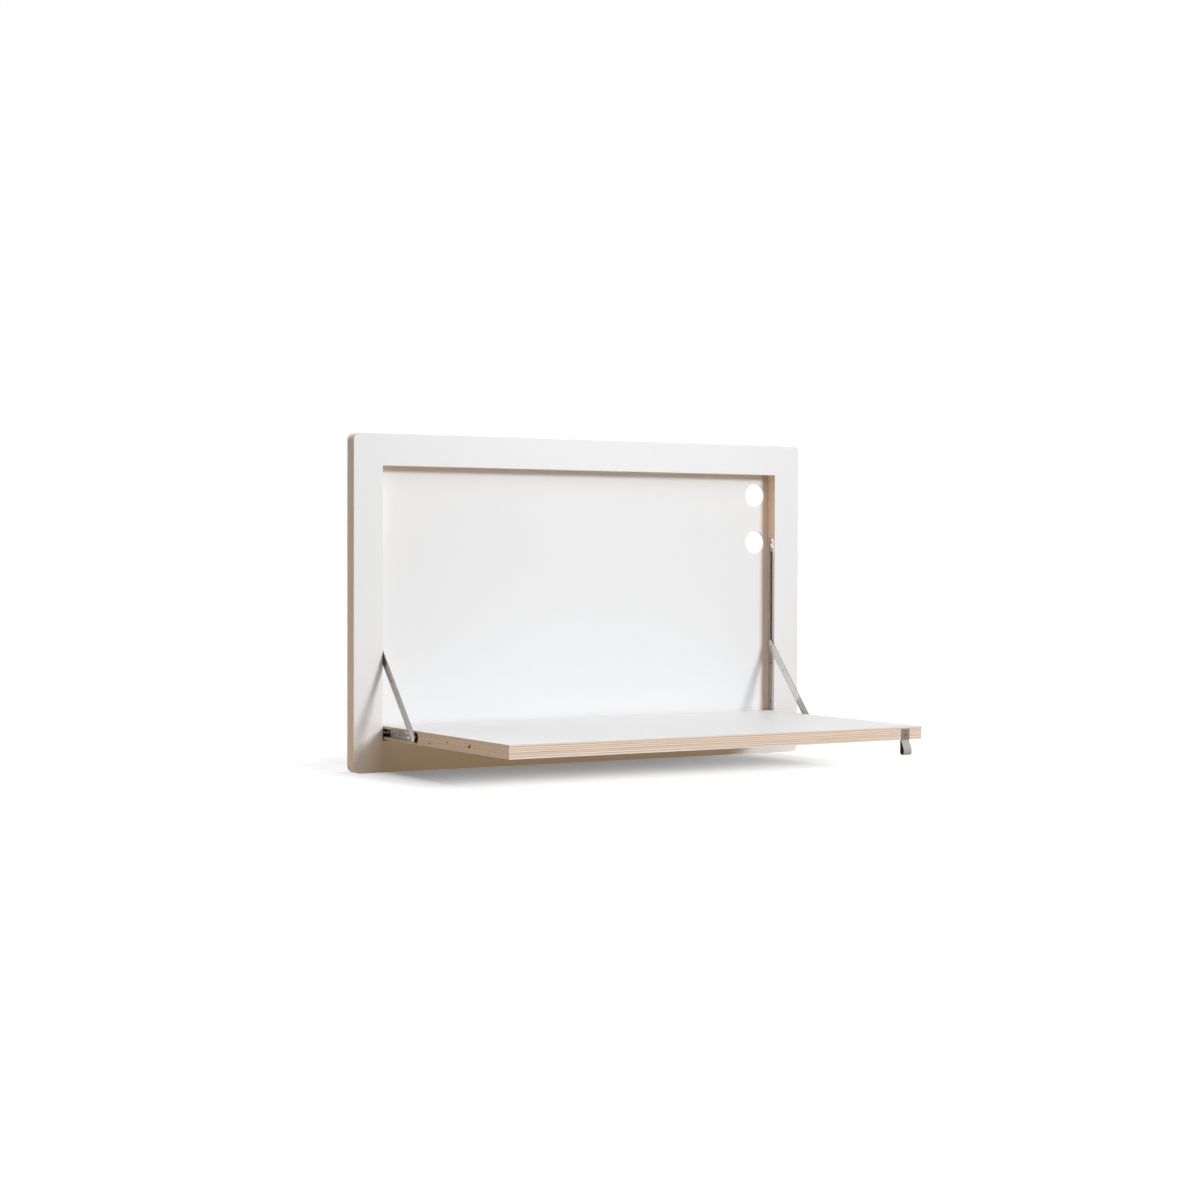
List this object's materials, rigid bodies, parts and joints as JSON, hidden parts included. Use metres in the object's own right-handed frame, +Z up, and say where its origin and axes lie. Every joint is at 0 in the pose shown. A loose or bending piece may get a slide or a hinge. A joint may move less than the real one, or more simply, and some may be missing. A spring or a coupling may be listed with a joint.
{
  "type": "wall mounted drop leaf table",
  "caption": "Wall mounted frame with a hinged leaf that drops level as a shallow desk, held by a slotted steel stay at each side, with cable holes in the back panel and a leather pull.",
  "frame": {"origin": "centre of the rear face of the back panel, on the wall", "axes": "+X to the right as one faces the table, +Y into the wall, +Z up"},
  "size_m": [0.8, 0.4115, 0.5],
  "materials": {
    "birch_plywood": "sanded birch plywood, clear sealed edges",
    "white_laminate": "matt white laminate with a fine texture",
    "satin_steel": "satin rolled strip steel",
    "zinc_plated": "bright zinc plating",
    "ferrite": "sintered dark grey",
    "grey_leather": "grey nubuck, soft nap"
  },
  "bodies": {
    "frame": {"frame_core": "birch_plywood", "frame_front_laminate": "white_laminate", "frame_back_laminate": "white_laminate", "back_panel_board": "birch_plywood", "back_panel_laminate": "white_laminate", "back_panel_screws": "zinc_plated", "left_hanger_plate": "zinc_plated", "right_hanger_plate": "zinc_plated", "hanger_screws": "zinc_plated", "left_stay_rail": "satin_steel", "right_stay_rail": "satin_steel", "rail_screws": "zinc_plated", "left_hinge_pin": "satin_steel", "right_hinge_pin": "satin_steel", "hinge_bushes": "satin_steel"},
    "leaf": {"leaf_core": "birch_plywood", "leaf_top_laminate": "white_laminate", "leaf_under_laminate": "white_laminate", "left_leaf_plate": "satin_steel", "right_leaf_plate": "satin_steel", "leaf_plate_screws": "zinc_plated", "catch_magnets": "ferrite", "left_foot_rivet": "zinc_plated", "right_foot_rivet": "zinc_plated", "foot_washers": "zinc_plated", "pull_strap": "grey_leather", "strap_screw": "zinc_plated"},
    "left_arm": {"left_stay_arm": "satin_steel", "left_head_rivet": "zinc_plated"},
    "right_arm": {"right_stay_arm": "satin_steel", "right_head_rivet": "zinc_plated"},
    "left_slider": {"left_slider": "satin_steel"},
    "right_slider": {"right_slider": "satin_steel"}
  },
  "joints": [
    {"name": "leaf_hinge", "type": "hinge", "parent": "frame", "child": "leaf", "pos_m": [0, -0.0133, -0.1912], "axis": [-1, 0, 0], "range_deg": [0, 90]},
    {"name": "left_arm_pivot", "type": "hinge", "parent": "leaf", "child": "left_arm", "pos_m": [-0.35185, -0.1203, -0.1912], "axis": [1, 0, 0], "range_deg": [0, 131.85]},
    {"name": "left_slider_run", "type": "slide", "parent": "frame", "child": "left_slider", "axis": [0, 0, 1], "range_m": [0, 0.14791]},
    {"name": "right_arm_pivot", "type": "hinge", "parent": "leaf", "child": "right_arm", "pos_m": [0.35185, -0.1203, -0.1912], "axis": [1, 0, 0], "range_deg": [0, 131.85]},
    {"name": "right_slider_run", "type": "slide", "parent": "frame", "child": "right_slider", "axis": [0, 0, 1], "range_m": [0, 0.14791]}
  ],
  "couplings": [
    {"joint": "left_arm_pivot", "follows": "leaf_hinge", "ratio": 1.4649},
    {"joint": "left_slider_run", "follows": "leaf_hinge", "m_per_rad": 0.094158},
    {"joint": "right_arm_pivot", "follows": "leaf_hinge", "ratio": 1.4649},
    {"joint": "right_slider_run", "follows": "leaf_hinge", "m_per_rad": 0.094158}
  ]
}
